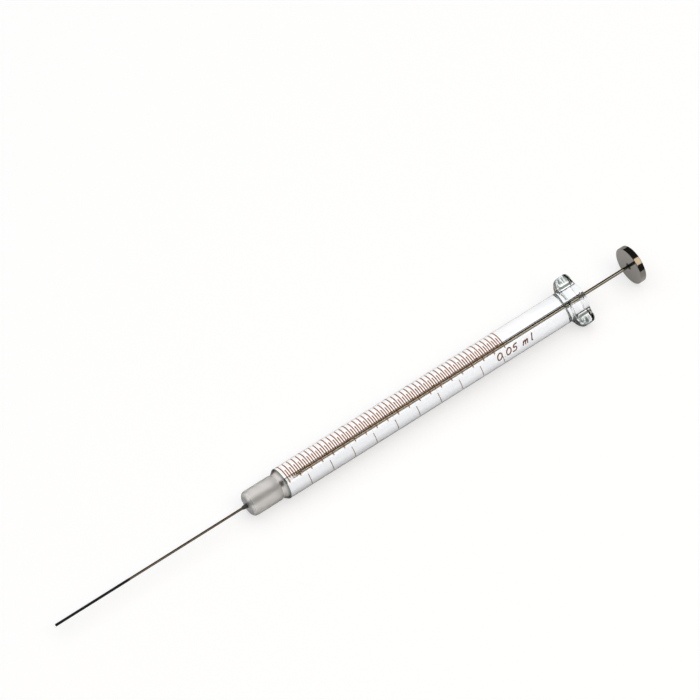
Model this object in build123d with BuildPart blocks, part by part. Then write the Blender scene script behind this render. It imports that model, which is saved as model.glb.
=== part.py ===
"""Microlitre syringe with a cemented needle, in millimetres.

It lies along X with the needle towards -X, the button towards +X and +Z up, turned as it comes to
rest on the shoulder and the button's rim, with one wing's tip just over the table. The origin is on
the axis at the zero mark of the scale.
"""

import os
from math import pi, sqrt

from build123d import *

# Scale: the bore follows from the volume that the scale measures
capacity = 50.0  # cubic millimetres between the first and the last mark
scale_length = 60.0  # first to last mark
volume_per_mark = 0.5  # cubic millimetres

# Glass barrel
barrel_diameter = 7.6
zero_setback = 0.95  # from the shoulder's edge to the zero mark
tube_tail = 18.3  # plain tube behind the last mark
shoulder_length = 1.15
shoulder_edge_chamfer = 0.2
nose_length = 8.2
nose_diameter = 6.2
nose_front_radius = 1.1
nose_root_diameter = 5.8
nose_taper_length = 0.65
waist_length = 1.0
waist_depth = 0.2
mouth_depth = 0.35  # funnel where the rod enters the glass
mouth_flare = 0.3

# Finger flange, pressed out of the same glass
flange_span = 12.8
flange_root_thickness = 4.1
flange_tip_thickness = 3.0
flange_edge_radius = 0.55
wing_height = 4.6
wing_corner_radius = 1.4
wing_fillet_radius = 0.7
boss_diameter = 7.7
rest_roll = 22.6  # degrees that the wings are turned from +Y towards +Z

# Needle, its coating and the resin that holds it
needle_diameter = 0.57
needle_bore = 0.17
needle_reach = 51.0  # from the nose's face to the tip
coated_length = 19.4
coating_thickness = 0.02
collar_length = 1.35
collar_taper_length = 0.55
collar_diameter = 1.0
meniscus_height = 0.15
meniscus_flare = 0.2

# Plunger
plunger_draw = 2.0  # how far the seal stands behind the zero mark
rod_clearance = 0.095  # each side, between rod and glass
seal_clearance = 0.015  # each side, between seal and glass
seal_length = 2.3
seal_groove_depth = 0.06
seal_groove_length = 0.5
seal_edge_chamfer = 0.08
spigot_diameter = 0.46
spigot_length = 1.5
spigot_clearance = 0.02
rod_free_length = 93.4  # from the seal's back to the button's front
button_diameter = 9.4
button_thickness = 1.6
button_edge_chamfer = 0.15
countersink_diameter = 1.8
countersink_depth = 0.35
rod_end_recess = 0.1

# Fired marks on the glass
mark_width = 0.18
mark_height = 0.02
long_mark_span = 70.0  # degrees round the barrel, from the bore line towards +Y
short_mark_span = 35.0
ringed_mark_span = 171.0  # the marks that go on round the back of the barrel
overrun_span = 13.6  # how far every fifth mark runs past the bore line, towards -Y
bore_line_angle = 114.0  # degrees from +Y towards +Z

# Places and sizes that follow from the sizes above
bore_diameter = 2 * sqrt(capacity / (pi * scale_length))
barrel_radius = barrel_diameter / 2
bore_radius = bore_diameter / 2
tube_start = -zero_setback
nose_end = tube_start - shoulder_length
nose_front = nose_end - nose_length
tube_end = scale_length + tube_tail
flange_front = tube_end + waist_length
glass_end = flange_front + flange_root_thickness
wing_tip_front = glass_end - flange_tip_thickness
boss_radius = boss_diameter / 2
needle_tip = nose_front - needle_reach
seal_front = plunger_draw
seal_back = seal_front + seal_length
rod_diameter = bore_diameter - 2 * rod_clearance
rod_start = seal_back + spigot_clearance
button_front = rod_start + rod_free_length
button_back = button_front + button_thickness
mark_count = round(capacity / volume_per_mark) + 1
mark_pitch = scale_length / (mark_count - 1)

# Half profiles are drawn in the wings' plane and round outlines on planes turned with it, so that
# the seams of the turned surfaces stay off the line that rests on the table
lengthwise = Plane.XY.rotated((rest_roll, 0, 0))


def crosswise(x):
    return Plane.YZ.offset(x).rotated((rest_roll, 0, 0))


# The wings, with their slanted fronts and rounded edges, and the round boss between them
with BuildPart() as flange:
    with BuildSketch(crosswise(flange_front)) as flange_outline:
        Circle(boss_radius)
        RectangleRounded(flange_span, wing_height, wing_corner_radius)
        inner_corners = flange_outline.vertices().sort_by_distance((0, 0))[:4]
        fillet(inner_corners, radius=wing_fillet_radius)
    extrude(amount=flange_root_thickness)
    with BuildSketch(lengthwise):
        with BuildLine():
            Polyline(
                (flange_front, -boss_radius),
                (flange_front, boss_radius),
                (wing_tip_front, flange_span / 2),
                (glass_end, flange_span / 2),
                (glass_end, -flange_span / 2),
                (wing_tip_front, -flange_span / 2),
                close=True,
            )
        make_face()
    extrude(amount=max(wing_height, boss_diameter), both=True, mode=Mode.INTERSECT)
    fillet(flange.faces().sort_by(Axis.X)[-1].outer_wire().edges(), radius=flange_edge_radius)


def profile_corner(x, radius):
    return barrel_profile.vertices().sort_by_distance((x, radius))[0]


# The glass barrel: ground nose, shoulder, tube, waist and flange, with one bore through it all
with BuildPart() as barrel:
    with BuildSketch(lengthwise) as barrel_profile:
        with BuildLine():
            Polyline(
                (flange_front, 0),
                (nose_front, 0),
                (nose_front, nose_diameter / 2),
                (nose_end - nose_taper_length, nose_diameter / 2),
                (nose_end, nose_root_diameter / 2),
                (tube_start, barrel_radius),
                (tube_end, barrel_radius),
            )
            Polyline(
                (tube_end, barrel_radius),
                (tube_end + waist_length / 2, barrel_radius - waist_depth),
                (flange_front, boss_radius),
                (flange_front, 0),
            )
        make_face()
        fillet(profile_corner(nose_front, nose_diameter / 2), radius=nose_front_radius)
        chamfer(profile_corner(tube_start, barrel_radius), length=shoulder_edge_chamfer)
    revolve(axis=Axis.X)
    add(flange.part)
    with BuildSketch(lengthwise):
        with BuildLine():
            Polyline(
                (nose_front, 0),
                (nose_front, bore_radius),
                (glass_end - mouth_depth, bore_radius),
                (glass_end, bore_radius + mouth_flare),
                (glass_end, 0),
                close=True,
            )
        make_face()
    revolve(axis=Axis.X, mode=Mode.SUBTRACT)
barrel.part.label = "barrel"


# A fired mark is a low ridge round the glass, from an angle on the +Y side of the bore line
# to the bore line or a little past it
def fired_mark(span, overrun):
    with BuildPart() as mark:
        with BuildSketch(Plane.XY.rotated((bore_line_angle - span, 0, 0))):
            with BuildLine():
                Polyline(
                    (-mark_width / 2, barrel_radius),
                    (0, barrel_radius + mark_height),
                    (mark_width / 2, barrel_radius),
                    close=True,
                )
            make_face()
        revolve(axis=Axis.X, revolution_arc=span + overrun)
    return mark.part


def mark_places(first, step):
    return [(mark * mark_pitch, 0, 0) for mark in range(first, mark_count, step)]


ringed_places = mark_places(0, 10)
short_overrun_places = mark_places(5, 10)
long_places = [place for place in mark_places(0, 2) if place not in ringed_places]
short_places = [place for place in mark_places(1, 2) if place not in short_overrun_places]

with BuildPart() as graduation_marks:
    with Locations(ringed_places):
        add(fired_mark(ringed_mark_span, overrun_span))
    with Locations(long_places):
        add(fired_mark(long_mark_span, 0))
    with Locations(short_overrun_places):
        add(fired_mark(short_mark_span, overrun_span))
    with Locations(short_places):
        add(fired_mark(short_mark_span, 0))
graduation_marks.part.label = "graduation_marks"

# The needle runs through the nose and ends at the zero mark
with BuildPart() as needle:
    with BuildSketch(crosswise(needle_tip)):
        Circle(needle_diameter / 2)
        Circle(needle_bore / 2, mode=Mode.SUBTRACT)
    extrude(amount=-needle_tip)
needle.part.label = "needle"

with BuildPart() as needle_coating:
    with BuildSketch(crosswise(needle_tip)):
        Circle(needle_diameter / 2 + coating_thickness)
        Circle(needle_diameter / 2, mode=Mode.SUBTRACT)
    extrude(amount=coated_length)
needle_coating.part.label = "needle_coating"

# Resin fills the bore round the needle and stands out of the nose as a tapered collar
with BuildPart() as needle_cement:
    with BuildSketch(lengthwise):
        with BuildLine():
            Polyline(
                (0, needle_diameter / 2),
                (0, bore_radius),
                (nose_front, bore_radius),
                (nose_front, collar_diameter / 2 + meniscus_flare),
                (nose_front - meniscus_height, collar_diameter / 2),
                (nose_front - collar_length + collar_taper_length, collar_diameter / 2),
                (nose_front - collar_length, needle_diameter / 2),
                close=True,
            )
        make_face()
    revolve(axis=Axis.X)
needle_cement.part.label = "needle_cement"

# The seal is a grooved plug with a blind socket for the rod's spigot
with BuildPart() as plunger_seal:
    with BuildSketch(crosswise(seal_front)):
        Circle(bore_radius - seal_clearance)
    extrude(amount=seal_length)
    chamfer(plunger_seal.edges(), length=seal_edge_chamfer)
    with BuildSketch(lengthwise):
        with Locations((seal_front + seal_length / 2, bore_radius - seal_clearance)):
            Rectangle(seal_groove_length, 2 * seal_groove_depth)
    revolve(axis=Axis.X, mode=Mode.SUBTRACT)
    with BuildSketch(crosswise(seal_back)):
        Circle(spigot_diameter / 2 + spigot_clearance)
    extrude(amount=-spigot_length, mode=Mode.SUBTRACT)
plunger_seal.part.label = "plunger_seal"

with BuildPart() as plunger_rod:
    with BuildSketch(crosswise(rod_start)):
        Circle(rod_diameter / 2)
    extrude(amount=rod_free_length + button_thickness - rod_end_recess)
    with BuildSketch(crosswise(rod_start)):
        Circle(spigot_diameter / 2)
    extrude(amount=-spigot_length)
plunger_rod.part.label = "plunger_rod"

# The button is turned from bar, countersunk round the rod
with BuildPart() as plunger_button:
    with BuildSketch(crosswise(button_front)):
        Circle(button_diameter / 2)
    extrude(amount=button_thickness)
    chamfer(plunger_button.edges(), length=button_edge_chamfer)
    with BuildSketch(lengthwise):
        with BuildLine():
            Polyline(
                (button_front, 0),
                (button_front, countersink_diameter / 2),
                (button_front + countersink_depth, rod_diameter / 2),
                (button_back, rod_diameter / 2),
                (button_back, 0),
                close=True,
            )
        make_face()
    revolve(axis=Axis.X, mode=Mode.SUBTRACT)
plunger_button.part.label = "plunger_button"

pieces = (
    barrel,
    graduation_marks,
    needle,
    needle_coating,
    needle_cement,
    plunger_seal,
    plunger_rod,
    plunger_button,
)
os.makedirs("parts", exist_ok=True)
for piece in pieces:
    export_step(piece.part, f"parts/{piece.part.label}.step")
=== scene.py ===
"""Dresses the microlitre syringe: clear and ground glass, fired marks, resin, steel and seal.

Lengths are in metres. The syringe lies along X with its needle towards -X, as in the frame.
"""

import math

import bmesh
import bpy
import numpy as np
from bpy.props import FloatProperty, FloatVectorProperty, IntProperty, PointerProperty
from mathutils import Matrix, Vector


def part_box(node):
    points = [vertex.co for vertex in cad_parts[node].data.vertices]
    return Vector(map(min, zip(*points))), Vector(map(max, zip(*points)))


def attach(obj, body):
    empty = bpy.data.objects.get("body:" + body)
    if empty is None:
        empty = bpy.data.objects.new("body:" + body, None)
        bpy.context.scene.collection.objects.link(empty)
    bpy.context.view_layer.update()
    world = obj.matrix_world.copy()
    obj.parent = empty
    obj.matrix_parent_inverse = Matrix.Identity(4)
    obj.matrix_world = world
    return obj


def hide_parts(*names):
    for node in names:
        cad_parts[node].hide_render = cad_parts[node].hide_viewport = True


bl_info = {
    "name": "Microlitre syringe",
    "version": (1, 0, 0),
    "blender": (4, 5, 0),
    "location": "3D View > Sidebar > Syringe",
    "description": "Builds the glass, marks, needle and plunger of a microlitre syringe",
    "category": "Add Mesh",
}

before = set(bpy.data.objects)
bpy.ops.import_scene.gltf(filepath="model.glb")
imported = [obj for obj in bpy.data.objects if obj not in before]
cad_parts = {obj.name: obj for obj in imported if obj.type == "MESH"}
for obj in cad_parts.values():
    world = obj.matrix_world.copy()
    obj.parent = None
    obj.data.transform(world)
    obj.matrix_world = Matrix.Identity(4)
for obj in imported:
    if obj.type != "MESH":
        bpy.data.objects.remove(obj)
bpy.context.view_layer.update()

MM = 0.001
GLASS_LOW, GLASS_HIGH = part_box("barrel")
NEEDLE_LOW, NEEDLE_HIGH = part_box("needle")
COATING_LOW, COATING_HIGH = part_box("needle_coating")
CEMENT_LOW, CEMENT_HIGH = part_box("needle_cement")
SEAL_LOW, SEAL_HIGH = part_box("plunger_seal")
ROD_LOW, ROD_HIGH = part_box("plunger_rod")
BUTTON_LOW, BUTTON_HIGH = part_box("plunger_button")

EASE_STEPS = 8  # straight pieces in each rounded corner
FINE_TURN = 192  # faces round the glass
WIRE_TURN = 64  # faces round the needle and the rod
SHARP_ANGLE = math.radians(32)  # sharper edges stay unsmoothed
SUPPORT_SHARE = 0.2  # how far past a rounded corner its support ring stands, in radii


# Sizes and colours that a user may change


def length(label, millimetres, text):
    return FloatProperty(
        name=label,
        description=text,
        default=millimetres * MM,
        min=0.0,
        unit="LENGTH",
        subtype="DISTANCE",
        precision=5,
    )


def angle(label, degrees, text):
    return FloatProperty(
        name=label, description=text, default=math.radians(degrees), subtype="ANGLE"
    )


def colour(label, rgb, text):
    return FloatVectorProperty(
        name=label, description=text, default=rgb, size=3, min=0.0, max=1.0, subtype="COLOR"
    )


class SyringeGlassSizes(bpy.types.PropertyGroup):
    tube_radius: length("Tube radius", 3.8, "Outside radius of the barrel's tube")
    bore_radius: length("Bore radius", 0.51504, "Radius of the bore")
    nose_radius: length("Nose radius", 3.1, "Outside radius of the ground nose")
    nose_root_radius: length("Nose root", 2.9, "Radius where the nose meets the shoulder")
    nose_length: length("Nose length", 8.2, "Length of the ground nose")
    nose_taper: length("Nose taper", 0.65, "Length of the taper at the nose's root")
    nose_ease: length("Nose edge", 1.1, "Radius of the nose's front edge")
    shoulder_length: length("Shoulder length", 1.15, "From the nose to the tube's edge")
    shoulder_ease: length("Shoulder edge", 0.38, "Radius of the shoulder's edge")
    tube_length: length("Tube length", 79.5, "From the shoulder's edge to the waist")
    waist_length: length("Waist length", 0.75, "Length of the waist before the flange")
    waist_depth: length("Waist depth", 0.32, "Depth of the waist")
    boss_radius: length("Boss radius", 3.85, "Radius of the flange's round middle")
    wing_span: length("Wing span", 12.8, "From one wing's tip to the other's")
    wing_height: length("Wing height", 4.6, "Height of the wings")
    wing_corner: length("Wing corner", 1.4, "Radius of the wings' corners")
    wing_root: length("Wing root", 4.1, "Thickness of the wings at the boss")
    wing_tip: length("Wing tip", 3.0, "Thickness of the wings at the tips")
    wing_ease: length("Wing edge", 0.85, "Radius of the pressed edges")
    wing_roll: angle("Wing roll", 22.6, "How far the wings are turned from level")
    mouth_flare: length("Mouth flare", 0.3, "How far the bore opens at its mouth")
    mouth_depth: length("Mouth depth", 0.35, "Depth of the bore's mouth")


class SyringeScaleSizes(bpy.types.PropertyGroup):
    scale_length: length("Scale length", 60.0, "From the first mark to the last")
    mark_count: IntProperty(name="Marks", description="Number of marks", default=101, min=2)
    # Wider than the printed lines, so that the ink also paints the marks' shadow
    mark_width: length("Mark width", 0.275, "Width of each mark")
    mark_height: length("Mark height", 0.018, "How far the ink stands on the glass")
    bore_line: angle("Bore line", 114.0, "Where the marks begin, from +Y towards +Z")
    long_span: angle("Long marks", 70.0, "How far a long mark runs round the barrel")
    short_span: angle("Short marks", 35.0, "How far a short mark runs")
    ringed_span: angle("Ringed marks", 164.0, "How far every tenth mark runs over the back")
    under_start: angle("Underside marks", 185.0, "Where every tenth mark goes on underneath")
    under_span: angle("Underside span", 48.0, "How far it then runs")
    under_width: length("Underside width", 0.17, "Width of the marks underneath")
    overrun: angle("Overrun", 13.6, "How far every fifth mark runs past the bore line")
    numeral_height: length("Numeral height", 1.7, "Height of the figures")
    numeral_stroke: length("Numeral stroke", 0.32, "Width of the figures' strokes")
    numeral_start: length("Numeral place", 57.1, "Where the figures begin on the scale")
    numeral_angle: angle("Numeral angle", 159.0, "Where the figures' feet stand")


class SyringeMetalSizes(bpy.types.PropertyGroup):
    needle_radius: length("Needle radius", 0.285, "Outside radius of the needle")
    needle_bore: length("Needle bore", 0.085, "Radius of the needle's bore")
    coating: length("Coating", 0.02, "Thickness of the needle's coating")
    collar_radius: length("Collar radius", 0.5, "Radius of the resin's collar")
    collar_taper: length("Collar taper", 0.55, "Length of the collar's tapered end")
    rod_radius: length("Rod radius", 0.42, "Radius of the plunger's rod")
    spigot_radius: length("Spigot radius", 0.23, "Radius of the rod's spigot")
    spigot_length: length("Spigot length", 1.5, "Length of the rod's spigot")
    seal_radius: length("Seal radius", 0.5, "Radius of the seal")
    button_radius: length("Button radius", 4.7, "Radius of the button")
    button_ease: length("Button edge", 0.14, "Radius of the button's edges")
    countersink: length("Countersink", 0.9, "Radius of the button's countersink")
    countersink_depth: length("Countersink depth", 0.35, "Depth of the countersink")


class SyringeFinishes(bpy.types.PropertyGroup):
    glass: colour("Clear glass", (0.96, 0.975, 1.0), "Tint of the clear glass")
    ground: colour("Ground glass", (0.97, 0.95, 0.93), "Tint of the ground nose")
    bore: colour("Bore glass", (0.86, 0.86, 0.85), "Tint of the bore's wall")
    eased: colour("Eased glass", (0.98, 0.97, 0.96), "Tint of the nose's front")
    # Painted shade that darkens the flange along its folds, in the hollow beside the boss and in
    # the ring
    fold_shade: colour("Folds and painted shade", (0.07, 0.11, 0.09), "Painted shade in the flange's folds")
    # Painted shade: grey-brown over the cut shoulder, near black along its edge
    shoulder: colour("Shoulder glass", (0.58, 0.53, 0.49), "Painted shade over the cut shoulder")
    edge: colour("Shoulder edge", (0.05, 0.065, 0.05), "Painted shade along the shoulder's edge")
    ink: colour("Fired ink", (0.48, 0.17, 0.035), "Colour of the fired marks")
    needle: colour("Needle steel", (0.30, 0.26, 0.21), "Colour of the drawn needle")
    coating: colour("Coating", (0.012, 0.012, 0.013), "Colour of the needle's coating")
    resin: colour("Resin", (0.085, 0.085, 0.065), "Colour of the cured resin")
    seal: colour("Seal", (0.97, 0.92, 0.84), "Colour of the seal")
    rod: colour("Rod steel", (0.57, 0.58, 0.54), "Colour of the ground rod")
    button: colour("Button", (0.50, 0.47, 0.43), "Colour of the polished button")


# Outlines and meshes


def eased(points, radii):
    """Rounds the corners of an outline in the (x, r) plane. The first and last points stay."""
    made = [Vector(points[0])]
    for before, corner, after, radius in zip(points, points[1:], points[2:], radii[1:]):
        before, corner, after = Vector(before), Vector(corner), Vector(after)
        if radius <= 0:
            made.append(corner)
            continue
        back, ahead = (before - corner).normalized(), (after - corner).normalized()
        half = back.angle(ahead) / 2
        cut = radius / math.tan(half)
        centre = corner + (back + ahead).normalized() * (radius / math.sin(half))
        first, last = corner + back * cut - centre, corner + ahead * cut - centre
        sweep = first.angle_signed(last)
        support = radius * SUPPORT_SHARE
        made.append(corner + back * (cut + support))
        for step in range(EASE_STEPS + 1):
            turn = -sweep * step / EASE_STEPS
            cos, sin = math.cos(turn), math.sin(turn)
            turned_by = Vector((first.x * cos - first.y * sin, first.x * sin + first.y * cos))
            made.append(centre + turned_by)
        made.append(corner + ahead * (cut + support))
    made.append(Vector(points[-1]))
    return [(point.x, point.y) for point in made]


def placed(name, data):
    """A new object in the scene."""
    piece = bpy.data.objects.new(name, data)
    bpy.context.scene.collection.objects.link(piece)
    return piece


def new_object(name, vertices, faces, materials, slots=None):
    mesh = bpy.data.meshes.new(name)
    mesh.from_pydata([tuple(map(float, v)) for v in vertices], [], faces)
    for material in materials:
        mesh.materials.append(material)
    if slots is not None:
        mesh.polygons.foreach_set("material_index", slots)
    work = bmesh.new()
    work.from_mesh(mesh)
    bmesh.ops.recalc_face_normals(work, faces=work.faces)
    work.to_mesh(mesh)
    work.free()
    mesh.shade_smooth()
    mesh.set_sharp_from_angle(angle=SHARP_ANGLE)
    return placed(name, mesh)


def ring_faces(first_ring, second_ring, around):
    a, b = first_ring * around, second_ring * around
    return [(a + k, a + (k + 1) % around, b + (k + 1) % around, b + k) for k in range(around)]


def rings_object(name, rings, materials, ring_slots=None, joined=False):
    """A closed skin over rings of equal count. Joined ends make a tube, others get a centre."""
    stations, around, _ = rings.shape
    vertices = rings.reshape(-1, 3)
    faces, slots = [], []
    pairs = [(i, i + 1) for i in range(stations - 1)]
    if joined:
        pairs.append((stations - 1, 0))
    for first, second in pairs:
        faces += ring_faces(first, second, around)
        slots += [ring_slots[first] if ring_slots else 0] * around
    if not joined:
        centres = np.array([rings[0].mean(0), rings[-1].mean(0)])
        for end, ring in ((0, 0), (1, stations - 1)):
            pole = len(vertices) + end
            base = ring * around
            faces += [(base + k, base + (k + 1) % around, pole) for k in range(around)]
            slots += [0] * around
        vertices = np.vstack([vertices, centres])
    return new_object(name, vertices, faces, materials, slots)


def turned(name, outline, around, material, joined=False):
    """A turned solid from an outline of (x, r) points."""
    angles = np.arange(around) * (2 * math.pi / around)
    outline = np.array(outline)
    rings = np.empty((len(outline), around, 3))
    rings[:, :, 0] = outline[:, :1]
    rings[:, :, 1] = outline[:, 1:] * np.cos(angles)
    rings[:, :, 2] = outline[:, 1:] * np.sin(angles)
    return rings_object(name, rings, [material], joined=joined)


def tube_object(name, span, inner, outer, inner_ease, outer_ease, material):
    """A turned tube between two places on X, from an inner to an outer radius."""
    low, high = span
    middle = (low + high) / 2
    corners = [(middle, inner), (low, inner), (low, outer), (high, outer)]
    corners += [(high, inner), (middle, inner)]
    outline = eased(corners, [0, inner_ease, outer_ease, outer_ease, inner_ease, 0])
    return turned(name, outline[:-1], WIRE_TURN, material, joined=True)


def settle(piece, body, slot, *nodes):
    """Puts a piece on its body, in the place of the solids it stands for."""
    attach(piece, body)
    if nodes:
        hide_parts(*nodes)


# Shader nodes


class Graph:
    """Adds nodes to a tree. An input takes a value or another node's output."""

    def __init__(self, tree):
        self.nodes, self.links = tree.nodes, tree.links

    def feed(self, value, socket):
        if isinstance(value, bpy.types.NodeSocket):
            self.links.new(value, socket)
        else:
            socket.default_value = value

    def add(self, kind, inputs, **settings):
        node = self.nodes.new("ShaderNode" + kind)
        for setting, value in settings.items():
            setattr(node, setting, value)
        for socket, value in inputs.items():
            self.feed(value, node.inputs[socket])
        return node

    def math(self, operation, *values):
        return self.add("Math", dict(enumerate(values)), operation=operation).outputs[0]

    def map_range(self, source, start, end, low=0.0, high=1.0):
        inputs = {"Value": source, "From Min": start, "From Max": end, "To Min": low}
        return self.add("MapRange", {**inputs, "To Max": high}).outputs["Result"]

    def ramp(self, source, low, high, start, end):
        """A colour between two tones, as a mask rises from start to end."""
        node = self.add("ValToRGB", {"Fac": source})
        first, last = node.color_ramp.elements
        first.position, last.position = start, end
        first.color, last.color = (*low, 1), (*high, 1)
        return node.outputs["Color"]

    def place(self):
        return self.add("TexCoord", {}).outputs["Object"]

    def split(self, vector):
        return self.add("SeparateXYZ", {"Vector": vector}).outputs

    def from_axis(self, place):
        """How far a place is from the X axis."""
        across = self.add("VectorMath", {0: place, 1: (0.0, 1.0, 1.0)}, operation="MULTIPLY")
        reach = self.add("VectorMath", {0: across.outputs["Vector"]}, operation="LENGTH")
        return reach.outputs["Value"]

    def noise(self, inputs, **settings):
        return self.add("TexNoise", inputs, **settings).outputs["Fac"]


def node_group(name, inputs, outputs, fill):
    """Builds a group once. From its graph and its inputs, fill gives its outputs in order."""
    if name in bpy.data.node_groups:
        return bpy.data.node_groups[name]
    group = bpy.data.node_groups.new(name, "ShaderNodeTree")
    new_socket, kind = group.interface.new_socket, "NodeSocketFloat"
    for label, value in inputs.items():
        new_socket(name=label, in_out="INPUT", socket_type=kind).default_value = value
    for label in outputs:
        new_socket(name=label, in_out="OUTPUT", socket_type=kind)
    entry, leave = group.nodes.new("NodeGroupInput"), group.nodes.new("NodeGroupOutput")
    for label, result in zip(outputs, fill(Graph(group), entry.outputs)):
        group.links.new(result, leave.inputs[label])
    return group


def drawn_lines_group():
    """Fine lines along X, as drawing or grinding leaves them."""

    def fill(graph, entry):
        stretch = graph.add("CombineXYZ", {"X": entry["Stretch"], "Y": 1.0, "Z": 1.0})
        scale = stretch.outputs["Vector"]
        mapping = graph.add("Mapping", {"Vector": graph.place(), "Scale": scale})
        lines = {"Vector": mapping.outputs["Vector"], "Scale": entry["Fineness"]}
        yield graph.noise({**lines, "Detail": 3.0, "Roughness": 0.6})

    return node_group("Drawn lines", {"Fineness": 9000.0, "Stretch": 0.02}, ["Lines"], fill)


def grit_group():
    """Even grit, with cloudy patches where it is coarser or cleaner."""

    def fill(graph, entry):
        place = graph.place()
        for scale, detail in ((entry["Grain"], 2.0), (entry["Patch"], 4.0)):
            yield graph.noise({"Vector": place, "Scale": scale, "Detail": detail})

    return node_group("Grit", {"Grain": 12000.0, "Patch": 700.0}, ["Grit", "Patches"], fill)


FOLD_STRETCH = (1.0, 0.14, 0.8)
FOLD_NOISE = {"Scale": 1700.0, "Detail": 3.0, "Distortion": 0.4}
FOLD_MASK = (0.44, 0.56)  # the part of the noise that shows as streaks of painted shade
HOLLOW_WIDTH = 0.3 * MM  # either side of the hollow between the boss and each wing, where shade is painted
# how dark the painted shade in that hollow is
HOLLOW_SHADE = 0.45
RING_WIDTH = 0.35 * MM  # either side of the ring round the bore's mouth, where shade is painted


def folds_and_painted_shade_group():
    """Folds along the wings as a bump, and painted shade that darkens them from the boss towards
    the tips, beside the boss and round the bore's mouth.
    """

    def fill(graph, entry):
        place = graph.place()
        turn = {"Vector": place, "Angle": entry["Roll"]}
        turn = graph.add("VectorRotate", turn, rotation_type="X_AXIS", invert=True)
        level = turn.outputs["Vector"]
        stretched = graph.add("Mapping", {"Vector": level, "Scale": FOLD_STRETCH})
        folds = graph.noise({"Vector": stretched.outputs["Vector"], **FOLD_NOISE})
        yield folds
        # The Depth output is painted shade: streaks from the boss outwards, the hollow beside it
        # and the ring
        reach = graph.math("ABSOLUTE", graph.split(level)["Y"])
        outwards = graph.map_range(reach, entry["Start"], entry["End"])
        streaks = graph.map_range(folds, *FOLD_MASK)
        depth = graph.math("MULTIPLY", outwards, streaks)
        beside = graph.math("COMPARE", reach, entry["Hollow"], HOLLOW_WIDTH)
        depth = graph.math("MULTIPLY_ADD", beside, HOLLOW_SHADE, depth)
        ring = graph.math("COMPARE", graph.from_axis(place), entry["Ring"], RING_WIDTH)
        yield graph.math("MULTIPLY_ADD", ring, streaks, depth)

    inputs = {"Roll": 0.0, "Start": 0.002, "Hollow": 0.004, "Ring": 0.003, "End": 0.006}
    return node_group("Folds and painted shade", inputs, ["Folds", "Depth"], fill)


# Finishes

GLASS_IOR = 1.474
MASK_LOW, MASK_HIGH = 0.3, 0.7  # the part of a noise mask that tints and roughens


def shade(rgb, share):
    return [channel * share for channel in rgb]


class Finish(Graph):
    """A material with one Principled shader and the few nodes that feed it."""

    def __init__(self, name, **plain):
        self.material = bpy.data.materials.new(name)
        self.material.use_nodes = True
        super().__init__(self.material.node_tree)
        self.sockets = self.nodes["Principled BSDF"].inputs
        for socket, value in plain.items():
            self.sockets[socket.replace("_", " ")].default_value = value

    def group(self, tree, **values):
        return self.add("Group", values, node_tree=tree).outputs

    def tint(self, mask, low, high, start=MASK_LOW, end=MASK_HIGH):
        self.feed(self.ramp(mask, low, high, start, end), self.sockets["Base Color"])

    def roughen(self, mask, low, high):
        rough = self.map_range(mask, MASK_LOW, MASK_HIGH, low, high)
        self.feed(rough, self.sockets["Roughness"])

    def bump(self, source, strength, distance):
        inputs = {"Strength": strength, "Distance": distance, "Height": source}
        self.feed(self.add("Bump", inputs).outputs["Normal"], self.sockets["Normal"])


def lined(name, rgb, fineness, stretch, darker, roughness, bump, **plain):
    """A finish under fine lines along X, with a bump of a strength and a height, or None."""
    made = Finish(name, **plain)
    lines = made.group(drawn_lines_group(), Fineness=fineness, Stretch=stretch)["Lines"]
    made.tint(lines, shade(rgb, darker), rgb)
    made.roughen(lines, *roughness)
    if bump:
        made.bump(lines, *bump)
    return made.material


def gritty(
    name, rgb, grain, patch, darker, roughness, bump, rough="Patches", raised="Grit", **plain
):
    """A finish under grit and patches, with a bump of a strength and a height."""
    made = Finish(name, **plain)
    grit = made.group(grit_group(), Grain=grain, Patch=patch)
    made.tint(grit["Patches"], shade(rgb, darker), rgb)
    made.roughen(grit[rough], *roughness)
    made.bump(grit[raised], *bump)
    return made.material


def clear_glass(finishes):
    return lined(
        "Clear glass",
        finishes.glass,
        fineness=1500.0,
        stretch=0.03,
        darker=0.99,
        roughness=(0.0, 0.02),
        bump=(0.05, 0.02 * MM),
        Transmission_Weight=1.0,
        IOR=GLASS_IOR,
    )


def bore_glass(finishes):
    """The wall of the bore, honed along its length."""
    return lined(
        "Bore glass",
        finishes.bore,
        fineness=9000.0,
        stretch=0.02,
        darker=0.95,
        roughness=(0.1, 0.18),
        bump=(0.1, 0.01 * MM),
        Transmission_Weight=1.0,
        IOR=GLASS_IOR,
    )


def eased_glass(finishes):
    """The nose's front, smoothed over so that the resin shows through it."""
    return gritty(
        "Eased glass",
        finishes.eased,
        grain=9000.0,
        patch=500.0,
        darker=0.96,
        roughness=(0.1, 0.16),
        bump=(0.15, 0.01 * MM),
        Transmission_Weight=0.55,
        IOR=GLASS_IOR,
    )


def ground_glass(finishes):
    return gritty(
        "Ground glass",
        finishes.ground,
        grain=16000.0,
        patch=500.0,
        darker=0.94,
        roughness=(0.55, 0.65),
        bump=(0.35, 0.02 * MM),
        Transmission_Weight=0.7,
        IOR=GLASS_IOR,
    )


def pressed_glass(finishes, sizes):
    """Glass with folds that run out along the wings, and painted shade, dark and green, along the
    folds, beside the boss and round the bore's mouth.
    """
    made = Finish("Pressed glass", Transmission_Weight=1.0, IOR=GLASS_IOR)
    folds = made.group(
        folds_and_painted_shade_group(),
        Roll=sizes.wing_roll,
        Start=sizes.boss_radius * 1.08,
        Hollow=sizes.boss_radius,
        Ring=sizes.boss_radius * 0.84,
        End=sizes.wing_span * 0.44,
    )
    # Painted shade: the clear tint darkens to the fold colour where Depth rises
    made.tint(folds["Depth"], finishes.glass, finishes.fold_shade, start=0.02, end=0.5)
    made.roughen(folds["Depth"], 0.0, 0.04)
    made.bump(folds["Folds"], strength=0.6, distance=0.12 * MM)
    return made.material


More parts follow.
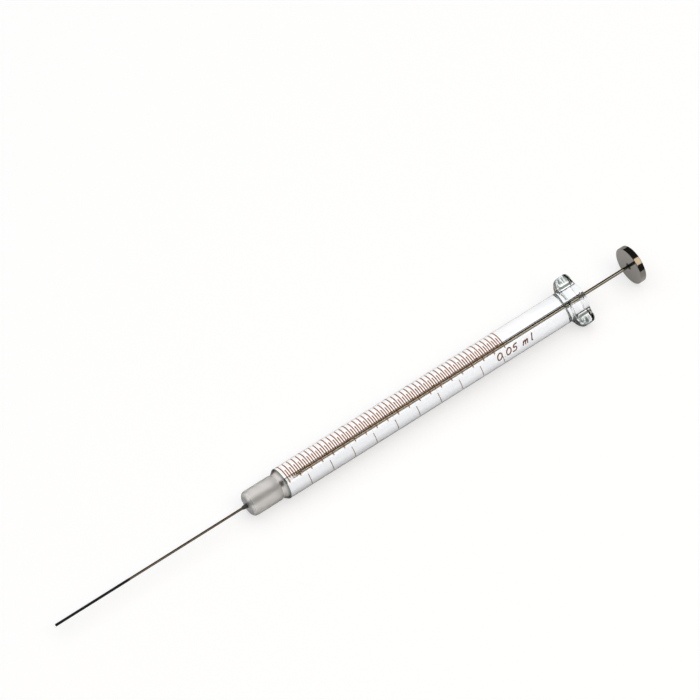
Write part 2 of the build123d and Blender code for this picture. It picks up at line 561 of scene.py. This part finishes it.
def shoulder_glass(finishes, sizes):
    """Cut glass under painted shade: grey-brown over the shoulder and darkest along its edge."""
    made = Finish("Shoulder glass", Transmission_Weight=0.9, IOR=GLASS_IOR)
    grit = made.group(grit_group(), Grain=9000.0, Patch=900.0)
    edge = GLASS_LOW.x + sizes.nose_length + sizes.shoulder_length
    along = made.split(made.place())["X"]
    # Painted shade that darkens towards the shoulder's edge
    edge_shade_mask = made.map_range(along, edge - 0.75 * MM, edge + 0.05 * MM)
    made.tint(edge_shade_mask, finishes.shoulder, finishes.edge, start=0.2, end=0.9)
    made.roughen(grit["Patches"], 0.3, 0.4)
    made.bump(grit["Grit"], strength=0.2, distance=0.01 * MM)
    return made.material


def fired_ink(finishes):
    return gritty(
        "Fired ink",
        finishes.ink,
        grain=9000.0,
        patch=900.0,
        darker=0.75,
        roughness=(0.1, 0.3),
        bump=(0.3, 0.005 * MM),
        rough="Grit",
        Transmission_Weight=0.75,
        IOR=GLASS_IOR,
    )


def drawn_steel(name, rgb, fineness, roughness):
    return lined(
        name,
        rgb,
        fineness=fineness,
        stretch=0.015,
        darker=0.8,
        roughness=(roughness * 0.8, roughness * 1.4),
        bump=(0.25, 0.006 * MM),
        Metallic=1.0,
    )


def black_coating(finishes):
    return gritty(
        "Black coating",
        finishes.coating,
        grain=14000.0,
        patch=1200.0,
        darker=0.7,
        roughness=(0.38, 0.5),
        bump=(0.2, 0.004 * MM),
        Specular_IOR_Level=0.35,
    )


def cured_resin(finishes):
    return gritty(
        "Cured resin",
        finishes.resin,
        grain=5000.0,
        patch=1500.0,
        darker=0.7,
        roughness=(0.25, 0.4),
        bump=(0.2, 0.01 * MM),
        raised="Patches",
        Coat_Weight=0.3,
        Coat_Roughness=0.15,
    )


def seal_plastic(finishes):
    return lined(
        "Seal plastic",
        finishes.seal,
        fineness=5000.0,
        stretch=0.05,
        darker=0.85,
        roughness=(0.28, 0.42),
        bump=None,
        Transmission_Weight=0.85,
        IOR=1.35,
    )


def polished_button(finishes, countersink):
    """Polished plating over turned rings, with painted shade inside the countersink."""
    made = Finish("Polished button", Metallic=1.0)
    place = made.place()
    reach = made.from_axis(place)
    rings = made.noise({"W": reach, "Scale": 14000.0, "Detail": 2.0}, noise_dimensions="1D")
    grit = made.group(grit_group(), Grain=6000.0, Patch=260.0)
    # Painted shade inside the front's countersink; elsewhere the patches vary the tone at random
    outside = made.map_range(reach, countersink * 0.85, countersink * 1.05)
    middle = (BUTTON_LOW.x + BUTTON_HIGH.x) / 2
    behind = made.math("GREATER_THAN", made.split(place)["X"], middle)
    unshaded = made.math("MAXIMUM", outside, behind)
    tone = made.math("MULTIPLY", unshaded, grit["Patches"])
    made.tint(tone, shade(finishes.button, 0.25), finishes.button, start=0.1, end=0.4)
    made.roughen(grit["Patches"], 0.07, 0.13)
    made.bump(rings, strength=0.06, distance=0.004 * MM)
    return made.material


# The glass

TINY = 1e-9
BOSS_BLEND = 0.22 * MM  # how softly the wings leave the boss
BOSS_SWELL = 0.6  # share of that softness that thickens the hollow
RAKE_BLEND = 0.25 * MM  # how softly the flange's front turns into the rake
LEAST_FACING = 0.35  # keeps the pressed edge narrow where the outline runs outwards
INNER_SHARE = 0.7  # most of the flange's front that the pressed edge takes
EASE_STRETCH = 1.5  # most that the pressed edge is longer along X than outwards
WAIST_BLEND = 3  # how quickly the waist's end runs out over the flange's front
TAPER_EASE = 0.5 * MM
ROOT_EASE = 0.12 * MM
WAIST_STEPS = 11
WAIST_REACH = 0.9  # share of the waist's length that its curve takes
WAIST_TURN = 0.75 * math.pi
FRONT_STEPS = 12
EDGE_STEPS = 9
SIDE_SHARES = (0.08, 0.35, 0.65, 0.92)
BACK_SHARES = (0.06, 0.3, 0.6, 0.9)
MOUTH_RIM = 0.15 * MM  # flat ring round the bore's mouth
MOUTH_EASES = (0, 0.08 * MM, 0.2 * MM, 0)
CUT_GLASS_REACH = 0.33 * MM  # how far the shoulder's glass runs on over its rounded edge
CLEAR, GROUND, SHOULDER, PRESSED, EASED, BORE = range(6)  # the barrel's material slots
BARREL_ORDER = (EASED, GROUND, SHOULDER, CLEAR, PRESSED, BORE)  # from the nose to the bore


def flange_reach(sizes, angles):
    """The flange's outline as a distance from the axis, for angles from the wings' line."""
    half_span, half_height = sizes.wing_span / 2, sizes.wing_height / 2
    corner = sizes.wing_corner
    across, up = np.abs(np.cos(angles)), np.abs(np.sin(angles))
    flat = half_height / np.maximum(up, TINY)
    tip = half_span / np.maximum(across, TINY)
    wing = np.minimum(flat, tip)
    hub = np.array([half_span - corner, half_height - corner])
    along = across * hub[0] + up * hub[1]
    arc = along + np.sqrt(np.maximum(along**2 - (hub @ hub) + corner**2, 0))
    in_corner = (wing * across > hub[0]) & (wing * up > hub[1])
    wing = np.where(in_corner, arc, wing)
    wide, narrow = np.maximum(wing, sizes.boss_radius), np.minimum(wing, sizes.boss_radius)
    return wide + BOSS_BLEND * np.log1p(np.exp((narrow - wide) / BOSS_BLEND)) * BOSS_SWELL


def glass_rings(sizes):
    """Rings of points over the whole barrel, and the material slot of each ring's faces."""
    nose_front = GLASS_LOW.x
    nose_end = nose_front + sizes.nose_length
    tube_start = nose_end + sizes.shoulder_length
    tube_end = tube_start + sizes.tube_length
    flange_front = tube_end + sizes.waist_length
    back = GLASS_HIGH.x
    bore = sizes.bore_radius
    front = eased(
        [
            (nose_front, bore),
            (nose_front, sizes.nose_radius),
            (nose_end - sizes.nose_taper, sizes.nose_radius),
            (nose_end, sizes.nose_root_radius),
            (tube_start, sizes.tube_radius),
            (tube_end, sizes.tube_radius),
        ],
        [0, sizes.nose_ease, TAPER_EASE, ROOT_EASE, sizes.shoulder_ease, 0],
    )
    waist = [
        (
            tube_end + sizes.waist_length * WAIST_REACH * t,
            sizes.tube_radius - sizes.waist_depth * math.sin(WAIST_TURN * t) ** 2,
        )
        for t in np.linspace(0, 1, WAIST_STEPS)
    ]
    smooth = front[:-1] + waist
    around = FINE_TURN * 2
    angles = np.arange(around) * (2 * math.pi / around)
    from_wings = angles - sizes.wing_roll
    reach = flange_reach(sizes, from_wings)
    slope = np.gradient(np.concatenate([reach[-2:], reach, reach[:2]]), angles[1])[2:-2]
    facing = np.clip(reach / np.hypot(reach, slope), LEAST_FACING, 1)
    rings = [
        np.column_stack([np.full(around, x), r * np.cos(angles), r * np.sin(angles)])
        for x, r in smooth
    ]
    start_x, start_r = smooth[-1]
    across = np.abs(np.cos(from_wings))
    rake = (sizes.wing_root - sizes.wing_tip) / (sizes.wing_span / 2 - sizes.boss_radius)
    ease_r = np.minimum(sizes.wing_ease / facing, (reach - start_r) * INNER_SHARE)
    ease_x = np.minimum(sizes.wing_ease, ease_r * EASE_STRETCH)

    def ring(x, r):
        rings.append(np.column_stack([x, r * np.cos(angles), r * np.sin(angles)]))

    def front_x(r):
        """The flange's front: level over the boss, raked over the wings."""
        past = (r * across - sizes.boss_radius) / RAKE_BLEND
        return flange_front + rake * (RAKE_BLEND * np.logaddexp(0, past))

    inner = reach - ease_r
    for t in np.linspace(0, 1, FRONT_STEPS)[1:]:
        r = start_r + (inner - start_r) * t
        blend = 1 - (1 - min(t * WAIST_BLEND, 1)) ** 2
        ring(start_x + (front_x(r) - start_x) * blend, r)
    for turn in np.linspace(0, math.pi / 2, EDGE_STEPS)[1:]:
        r = inner + ease_r * math.sin(turn)
        ring(front_x(r) + ease_x * (1 - math.cos(turn)), r)
    side = front_x(reach) + ease_x
    for t in SIDE_SHARES:
        ring(side + (back - ease_x - side) * t, reach)
    for turn in np.linspace(math.pi / 2, 0, EDGE_STEPS):
        ring(back - ease_x * (1 - math.cos(turn)), inner + ease_r * math.sin(turn))
    mouth = bore + sizes.mouth_flare
    for t in BACK_SHARES:
        ring(np.full(around, back), inner + (mouth + MOUTH_RIM - inner) * t)
    funnel = [(back, mouth + MOUTH_RIM), (back, mouth)]
    funnel += [(back - sizes.mouth_depth, bore), (nose_front, bore)]
    inside = eased(funnel, MOUTH_EASES)
    for x, r in inside[:-1]:
        ring(np.full(around, x), np.full(around, r))
    # The faces behind a ring take its slot, and the last ring of the shoulder begins the tube
    ends = (nose_end + 0.05 * MM, tube_start + CUT_GLASS_REACH, tube_end - 0.02 * MM)
    nose, shoulder, tube = (len([x for x, _ in smooth if x < end]) for end in ends)
    starts = (0, EASE_STEPS, nose, shoulder - 1, tube, len(rings) - len(inside), len(rings))
    slots = []
    for slot, start, end in zip(BARREL_ORDER, starts, starts[1:]):
        slots += [slot] * (end - start)
    return np.array(rings), slots


class SYRINGE_OT_barrel(bpy.types.Operator):
    """Builds the glass barrel, with its ground nose and pressed flange"""

    bl_idname = "syringe.barrel"
    bl_label = "Glass barrel"

    def execute(self, context):
        sizes, finishes = context.scene.syringe_glass, context.scene.syringe_finishes
        rings, slots = glass_rings(sizes)
        glasses = [clear_glass(finishes), ground_glass(finishes)]
        glasses += [shoulder_glass(finishes, sizes), pressed_glass(finishes, sizes)]
        glasses += [eased_glass(finishes), bore_glass(finishes)]
        piece = rings_object("glass_barrel", rings, glasses, slots, joined=True)
        settle(piece, "barrel", "clear_glass", "barrel")
        return {"FINISHED"}


# The fired scale

INK_SINK = 0.006 * MM  # how deep the ink's edges lie in the glass
INK_SHOULDER = (0.8, 0.7)  # shares of half the width and of the height
ARC_STEP = math.radians(2.0)
LEAST_ARC_STEPS = 4


def arc_ridge(x, begin, end, width, height, radius):
    """Points and faces of one low ridge of ink round the glass."""
    half = width / 2
    out, rise = half * INK_SHOULDER[0], height * INK_SHOULDER[1]
    section = [(-half, -INK_SINK), (-out, rise), (0, height), (out, rise), (half, -INK_SINK)]
    steps = max(LEAST_ARC_STEPS, math.ceil((end - begin) / ARC_STEP))
    points, faces = [], []
    for turn in np.linspace(begin, end, steps + 1):
        for offset, up in section:
            r = radius + up
            points.append((x + offset, r * math.cos(turn), r * math.sin(turn)))
    count = len(section)
    for step in range(steps):
        faces += ring_faces(step, step + 1, count)
    faces += [tuple(range(count)), tuple(range(steps * count, (steps + 1) * count))]
    return points, faces


class SYRINGE_OT_scale(bpy.types.Operator):
    """Builds the fired marks of the scale"""

    bl_idname = "syringe.scale"
    bl_label = "Scale marks"

    def execute(self, context):
        scene = context.scene
        sizes, radius = scene.syringe_scale, scene.syringe_glass.tube_radius
        pitch = sizes.scale_length / (sizes.mark_count - 1)
        points, faces, arcs = [], [], []
        for mark in range(sizes.mark_count):
            x, span = mark * pitch, sizes.long_span if mark % 2 == 0 else sizes.short_span
            if mark % 10 == 0:
                span = sizes.ringed_span
                under = sizes.bore_line - sizes.under_start
                arcs.append((x, under - sizes.under_span, under, sizes.under_width))
            end = sizes.bore_line + (sizes.overrun if mark % 5 == 0 else 0.0)
            arcs.append((x, sizes.bore_line - span, end, sizes.mark_width))
        for arc in arcs:
            new_points, new_faces = arc_ridge(*arc, sizes.mark_height, radius)
            shift = len(points)
            faces += [tuple(shift + k for k in face) for face in new_faces]
            points += new_points
        piece = new_object("scale_marks", points, faces, [fired_ink(scene.syringe_finishes)])
        settle(piece, "barrel", "fired_ink", "graduation_marks")
        return {"FINISHED"}


# Strokes of the figures in units of their height: x runs along the barrel, y upwards
NUMERAL_STROKES = {
    "0": [[(0.38, 1.0), (0.08, 0.85), (0.0, 0.42), (0.14, 0.06), (0.42, 0.0), (0.7, 0.2),
           (0.78, 0.6), (0.64, 0.94), (0.38, 1.0)]],
    ".": [[(0.0, 0.03), (0.07, 0.06)]],
    "5": [[(0.78, 1.0), (0.26, 1.0), (0.14, 0.55), (0.46, 0.64), (0.7, 0.46), (0.66, 0.16),
           (0.38, 0.0), (0.02, 0.08)]],
    "m": [[(0.0, 0.0), (0.1, 0.66)], [(0.08, 0.42), (0.3, 0.68), (0.45, 0.6), (0.4, 0.0)],
          [(0.42, 0.42), (0.64, 0.68), (0.8, 0.6), (0.74, 0.0)]],
    "l": [[(0.12, 1.08), (0.02, 0.2), (0.06, 0.03), (0.2, 0.0)]],
}
CAPACITY_TEXT = (("0", 0.0), (".", 1.2), ("0", 1.5), ("5", 2.5), ("m", 4.26), ("l", 5.7))
NUMERAL_SLANT = 0.22


class SYRINGE_OT_numerals(bpy.types.Operator):
    """Builds the capacity's figures, fired on the glass beside the last marks"""

    bl_idname = "syringe.numerals"
    bl_label = "Capacity figures"

    def execute(self, context):
        scene = context.scene
        sizes, radius = scene.syringe_scale, scene.syringe_glass.tube_radius
        height = sizes.numeral_height
        curve = bpy.data.curves.new("capacity_figures", "CURVE")
        curve.dimensions = "3D"
        curve.bevel_depth = sizes.numeral_stroke / 2
        curve.bevel_resolution = 3
        curve.use_fill_caps = True
        sink = radius - sizes.numeral_stroke / 2 + sizes.mark_height
        for figure, place in CAPACITY_TEXT:
            for stroke in NUMERAL_STROKES[figure]:
                spline = curve.splines.new("NURBS")
                spline.points.add(len(stroke) - 1)
                for point, (along, up) in zip(spline.points, stroke):
                    x = sizes.numeral_start + (place + along + up * NUMERAL_SLANT) * height
                    turn = sizes.numeral_angle - up * height / radius
                    point.co = (x, sink * math.cos(turn), sink * math.sin(turn), 1.0)
                spline.order_u = min(3, len(stroke))
                spline.use_endpoint_u = True
                spline.resolution_u = 6
        holder = placed("capacity_curve", curve)
        context.view_layer.update()
        shaped = holder.evaluated_get(context.evaluated_depsgraph_get())
        mesh = bpy.data.meshes.new_from_object(shaped)
        bpy.data.objects.remove(holder)
        mesh.materials.clear()
        mesh.materials.append(bpy.data.materials["Fired ink"])
        mesh.shade_smooth()
        settle(placed("capacity_figures", mesh), "barrel", "fired_ink")
        return {"FINISHED"}


# Needle, resin and plunger

AXIS_RADIUS = 0.02 * MM  # where the ends of a solid outline stop short of the axis
NEEDLE_EASE = 0.02 * MM
OVERLAP = 0.001 * MM  # how far the sleeve and the resin reach into the needle
SLEEVE_EASE_SHARE = 0.45  # of the coating's thickness
FILL_OVERLAP = 0.003 * MM  # how far the resin reaches into the bore's wall
MENISCUS_HEIGHT, MENISCUS_FLARE = 0.15 * MM, 0.19 * MM
SEAL_SETBACK = 0.02 * MM  # keeps the seal off the needle's end at the zero stop
SEAL_GROOVE_DEPTH, SEAL_GROOVE_HALF = 0.06 * MM, 0.25 * MM
SEAL_EASE = 0.02 * MM
SOCKET_GAP = 0.02 * MM
TURNED_FIT = 0.01 * MM  # how far the button's hole reaches into the rod


class SYRINGE_OT_needle(bpy.types.Operator):
    """Builds the needle's tube and its black coating"""

    bl_idname = "syringe.needle"
    bl_label = "Needle"

    def execute(self, context):
        sizes, finishes = context.scene.syringe_metal, context.scene.syringe_finishes
        span, inner, outer = (NEEDLE_LOW.x, NEEDLE_HIGH.x), sizes.needle_bore, sizes.needle_radius
        steel = drawn_steel("Needle steel", finishes.needle, fineness=16000.0, roughness=0.22)
        tube = tube_object("needle_tube", span, inner, outer, NEEDLE_EASE, NEEDLE_EASE, steel)
        settle(tube, "barrel", "needle_steel", "needle")

        span, inner, skin = (COATING_LOW.x, COATING_HIGH.x), outer - OVERLAP, outer + sizes.coating
        ease, coating = sizes.coating * SLEEVE_EASE_SHARE, black_coating(finishes)
        sleeve = tube_object("needle_sleeve", span, inner, skin, 0, ease, coating)
        settle(sleeve, "barrel", "black_coating", "needle_coating")
        return {"FINISHED"}


class SYRINGE_OT_resin(bpy.types.Operator):
    """Builds the resin that holds the needle, with its tapered collar"""

    bl_idname = "syringe.resin"
    bl_label = "Resin"

    def execute(self, context):
        scene = context.scene
        sizes, bore = scene.syringe_metal, scene.syringe_glass.bore_radius
        under, front = sizes.needle_radius - OVERLAP, GLASS_LOW.x
        fill, collar = bore + FILL_OVERLAP, sizes.collar_radius
        tip, end = CEMENT_LOW.x, CEMENT_HIGH.x
        outline = eased(
            [
                ((tip + end) / 2, under),
                (tip, under),
                (tip, under + 0.03 * MM),
                (tip + sizes.collar_taper, collar),
                (front - MENISCUS_HEIGHT, collar + 0.01 * MM),
                (front - 0.004 * MM, collar + MENISCUS_FLARE),
                (front + 0.02 * MM, fill),
                (end, fill),
                (end, under),
                ((tip + end) / 2, under),
            ],
            [0, 0, 0.012 * MM, 0.25 * MM, 0.1 * MM, 0, 0, 0.01 * MM, 0, 0],
        )[:-1]
        resin = cured_resin(scene.syringe_finishes)
        piece = turned("resin_fill", outline, WIRE_TURN, resin, joined=True)
        settle(piece, "barrel", "resin", "needle_cement")
        return {"FINISHED"}


class SYRINGE_OT_plunger(bpy.types.Operator):
    """Builds the seal, the rod and the button"""

    bl_idname = "syringe.plunger"
    bl_label = "Plunger"

    def execute(self, context):
        sizes, finishes = context.scene.syringe_metal, context.scene.syringe_finishes
        low, high, radius = SEAL_LOW.x + SEAL_SETBACK, SEAL_HIGH.x, sizes.seal_radius
        middle, bottom = (low + high) / 2, radius - SEAL_GROOVE_DEPTH
        socket, end = sizes.spigot_radius + SOCKET_GAP, high - sizes.spigot_length
        outline = eased(
            [
                (low, AXIS_RADIUS),
                (low, radius),
                (middle - SEAL_GROOVE_HALF, radius),
                (middle - SEAL_GROOVE_HALF, bottom),
                (middle + SEAL_GROOVE_HALF, bottom),
                (middle + SEAL_GROOVE_HALF, radius),
                (high, radius),
                (high, socket),
                (end, socket),
                (end, AXIS_RADIUS),
            ],
            [0, 0.08 * MM, *[SEAL_EASE] * 4, 0.06 * MM, SEAL_EASE, 0, 0],
        )
        seal = turned("seal_plug", outline, WIRE_TURN, seal_plastic(finishes))
        settle(seal, "seal", "seal_plastic", "plunger_seal")

        low, high = ROD_LOW.x, ROD_HIGH.x
        shoulder, radius = low + sizes.spigot_length, sizes.rod_radius
        outline = eased(
            [
                (low, AXIS_RADIUS),
                (low, sizes.spigot_radius),
                (shoulder, sizes.spigot_radius),
                (shoulder, radius),
                (high, radius),
                (high, AXIS_RADIUS),
            ],
            [0, 0.03 * MM, 0, 0.03 * MM, 0.04 * MM, 0],
        )
        steel = drawn_steel("Rod steel", finishes.rod, fineness=14000.0, roughness=0.14)
        rod = turned("plunger_wire", outline, WIRE_TURN, steel)
        settle(rod, "plunger", "rod_steel", "plunger_rod")

        low, high, radius = BUTTON_LOW.x, BUTTON_HIGH.x, sizes.button_radius
        hole, ease = sizes.rod_radius - TURNED_FIT, sizes.button_ease
        outline = eased(
            [
                ((low + high) / 2, hole),
                (low + sizes.countersink_depth, hole),
                (low, sizes.countersink),
                (low, radius),
                (high, radius),
                (high, hole),
                ((low + high) / 2, hole),
            ],
            [0, 0, 0.03 * MM, ease, ease, 0.05 * MM, 0],
        )[:-1]
        plating = polished_button(finishes, sizes.countersink)
        button = turned("plunger_disc", outline, FINE_TURN, plating, joined=True)
        settle(button, "plunger", "polished_button", "plunger_button")
        return {"FINISHED"}


# Floor, lights and camera

TABLE_GLOW = 0.63  # to the camera
# Kind of ray, its share where it falls steeply on the table and where it runs along it, and the
# slants between which the share changes
SLANTED_GLOW = (
    ("Is Transmission Ray", 0.8, 0.24, 0.45, 1.0),
    ("Is Glossy Ray", 0.16, 0.0, 0.15, 0.5),
)
STUDIO_DIM = 0.02  # on everything
STUDIO_GLOW = 0.94  # added for the camera alone
TABLE_HALF = 1.5  # metres
TABLE_GAP = 0.01 * MM
LIT_POINT = Vector((0.02, 0, 0))
# Name, direction and distance from the lit point, size, watts, colour, and whether metal and
# glass show it
LAMPS = (
    ("overhead_box", (0.28, -0.52, 0.81), 0.76, (0.6, 0.47), 1.15, (1, 0.82, 0.6), True),
    ("fill", (0.0, 0.1, 1.0), 1.2, (2.2, 2.2), 22.5, (0.968, 0.983, 1), False),
)
CAMERA_LENS, CAMERA_SENSOR = 183.75, 36.0  # millimetres
CAMERA_CLIP = (0.01, 20.0)
CAMERA_PLACE = (-218.245 * MM, -326.429 * MM, 696.173 * MM)
CAMERA_TURN = (math.radians(31.521), 0.0, math.radians(-35.898))


def table_finish():
    """A pale table that shows as white, still takes the syringe's shadow, and dims in glass and
    metal where they look along it."""
    white = (1, 1, 1, 1)
    made = Finish("Table", Base_Color=(0.42, 0.42, 0.42, 1), Roughness=0.9, Emission_Color=white)
    made.sockets["Specular IOR Level"].default_value = 0.0
    path = made.add("LightPath", {}).outputs
    slant = made.add("LayerWeight", {"Blend": 0.5}).outputs["Facing"]
    glow = made.math("MULTIPLY", path["Is Camera Ray"], TABLE_GLOW)
    for ray, steep, along, start, end in SLANTED_GLOW:
        share = made.map_range(slant, start, end, steep, along)
        glow = made.math("MULTIPLY_ADD", path[ray], share, glow)
    made.feed(glow, made.sockets["Emission Strength"])
    return made.material


def area_light(name, direction, distance, size, power, rgb, reflected):
    data = bpy.data.lights.new(name, "AREA")
    data.shape = "RECTANGLE"
    data.size, data.size_y = size
    data.energy = power
    data.color = rgb
    lamp = placed(name, data)
    away = Vector(direction).normalized()
    lamp.location = LIT_POINT + away * distance
    lamp.rotation_euler = away.to_track_quat("Z", "Y").to_euler()
    lamp.visible_camera = False
    lamp.visible_glossy = lamp.visible_transmission = reflected


def studio_world():
    """A world that shows as white and lights the syringe only dimly."""
    world = bpy.data.worlds.new("Studio")
    world.use_nodes = True
    graph, background = Graph(world.node_tree), world.node_tree.nodes["Background"]
    seen = graph.add("LightPath", {}).outputs["Is Camera Ray"]
    glow = graph.math("MULTIPLY_ADD", seen, STUDIO_GLOW, STUDIO_DIM)
    graph.feed(glow, background.inputs["Strength"])
    background.inputs["Color"].default_value = (1, 1, 1, 1)
    return world


class SYRINGE_OT_stage(bpy.types.Operator):
    """Sets the table, the lights and the camera"""

    bl_idname = "syringe.stage"
    bl_label = "Stage"

    def execute(self, context):
        scene = context.scene
        glass, metal = scene.syringe_glass, scene.syringe_metal
        shoulder_x = GLASS_LOW.x + glass.nose_length + glass.shoulder_length
        shoulder = Vector((shoulder_x, 0, -glass.tube_radius))
        rim = Vector((BUTTON_LOW.x + metal.button_ease, 0, -metal.button_radius))
        lie, side = (rim - shoulder).normalized(), Vector((0, 1, 0))
        up = lie.cross(side).normalized()
        if up.z < 0:
            up = -up
        origin = shoulder - up * TABLE_GAP
        corners = [
            origin + lie * a * TABLE_HALF + side * b * TABLE_HALF
            for a, b in ((-1, -1), (1, -1), (1, 1), (-1, 1))
        ]
        mesh = bpy.data.meshes.new("table")
        mesh.from_pydata([tuple(c) for c in corners], [], [(0, 1, 2, 3)])
        mesh.materials.append(table_finish())
        table = placed("table", mesh)

        for lamp in LAMPS:
            area_light(*lamp)
        scene.world = studio_world()

        data = bpy.data.cameras.new("Camera")
        data.lens, data.sensor_width = CAMERA_LENS, CAMERA_SENSOR
        data.clip_start, data.clip_end = CAMERA_CLIP
        camera = placed("Camera", data)
        camera.location = CAMERA_PLACE
        camera.rotation_euler = CAMERA_TURN
        scene.camera = camera
        scene.view_settings.view_transform = "Standard"
        return {"FINISHED"}


class SYRINGE_PT_panel(bpy.types.Panel):
    """Lists the syringe's pieces"""

    bl_idname = "SYRINGE_PT_panel"
    bl_label = "Microlitre syringe"
    bl_space_type = "VIEW_3D"
    bl_region_type = "UI"
    bl_category = "Syringe"

    def draw(self, context):
        for operator in OPERATORS:
            self.layout.operator(operator.bl_idname)
        for group in SETTINGS:
            settings = getattr(context.scene, group)
            box = self.layout.box()
            for name in settings.__annotations__:
                box.prop(settings, name)


SETTINGS = {
    "syringe_glass": SyringeGlassSizes,
    "syringe_scale": SyringeScaleSizes,
    "syringe_metal": SyringeMetalSizes,
    "syringe_finishes": SyringeFinishes,
}
OPERATORS = (
    SYRINGE_OT_barrel,
    SYRINGE_OT_scale,
    SYRINGE_OT_numerals,
    SYRINGE_OT_needle,
    SYRINGE_OT_resin,
    SYRINGE_OT_plunger,
    SYRINGE_OT_stage,
)
CLASSES = (*SETTINGS.values(), *OPERATORS, SYRINGE_PT_panel)


def register():
    for cls in CLASSES:
        bpy.utils.register_class(cls)
    for name, cls in SETTINGS.items():
        setattr(bpy.types.Scene, name, PointerProperty(type=cls))


def unregister():
    for name in SETTINGS:
        delattr(bpy.types.Scene, name)
    for cls in reversed(CLASSES):
        bpy.utils.unregister_class(cls)


def main():
    register()
    bpy.ops.syringe.barrel()
    bpy.ops.syringe.scale()
    bpy.ops.syringe.numerals()
    bpy.ops.syringe.needle()
    bpy.ops.syringe.resin()
    bpy.ops.syringe.plunger()
    bpy.ops.syringe.stage()


if __name__ == "__main__":
    main()
